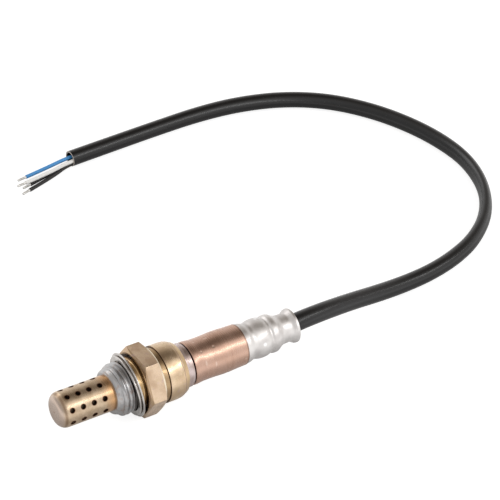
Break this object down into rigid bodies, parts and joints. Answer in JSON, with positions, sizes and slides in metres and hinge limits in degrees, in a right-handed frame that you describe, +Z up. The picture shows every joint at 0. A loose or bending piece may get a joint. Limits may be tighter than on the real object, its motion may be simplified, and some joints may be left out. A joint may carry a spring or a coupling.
{
  "type": "oxygen sensor",
  "caption": "Heated exhaust oxygen sensor with a perforated nose, threaded hexagon body, tinted metal sleeve and a black cable that ends in bare wires.",
  "frame": {"origin": "on the axis of the thread, where the plane of the loose gasket's front lip crosses it, between the end of the thread and the hexagon", "axes": "+X along the sensor towards the cable, so the nose points to -X; +Z up, with one flat of the hexagon downwards; the cable lies to the +Y side"},
  "size_m": [0.2133, 0.1502, 0.0228],
  "materials": {
    "protection_tube": "satin heat-tinted steel",
    "inner_tube": "dull steel",
    "zirconia": "matte",
    "alumina": "matte",
    "talc": "pressed powder",
    "housing": "yellow-chromated zinc, grey on the thread",
    "gasket": "bright rolled steel",
    "shell": "satin steel",
    "weld": "dark oxide",
    "sleeve": "heat-tinted brown steel",
    "cap": "satin stainless steel",
    "contact": "bright strip",
    "rubber": "matte black",
    "sheath": "semi-gloss black",
    "wire_blue": "smooth",
    "wire_white": "smooth",
    "wire_black": "smooth",
    "tinned": "tinned copper"
  },
  "bodies": {
    "root": {"outer_protection_tube": "protection_tube", "inner_protection_tube": "inner_tube", "zirconia_element": "zirconia", "heater_rod": "alumina", "housing": "housing", "gasket": "gasket", "seat_washer": "contact", "talc_packing": "talc", "packing_washer": "contact", "insulator_bush": "alumina", "crimp_ring": "contact", "inner_shell": "shell", "weld_seam": "weld", "outer_sleeve": "sleeve", "rear_cap": "cap", "inner_electrode_contact": "contact", "outer_electrode_contact": "contact", "contact_separator": "alumina", "holding_spring": "contact", "signal_terminal": "contact", "ground_terminal": "contact", "heater_terminal_inner": "contact", "heater_terminal_outer": "contact", "cable_grommet": "rubber", "cable_sheath": "sheath", "lead_blue": "wire_blue", "lead_white": "wire_white", "lead_black_inner": "wire_black", "lead_black_outer": "wire_black", "wire_blue": "wire_blue", "wire_white": "wire_white", "wire_black_inner": "wire_black", "wire_black_outer": "wire_black", "strand_blue": "tinned", "strand_white": "tinned", "strand_black_inner": "tinned", "strand_black_outer": "tinned"}
  },
  "joints": []
}
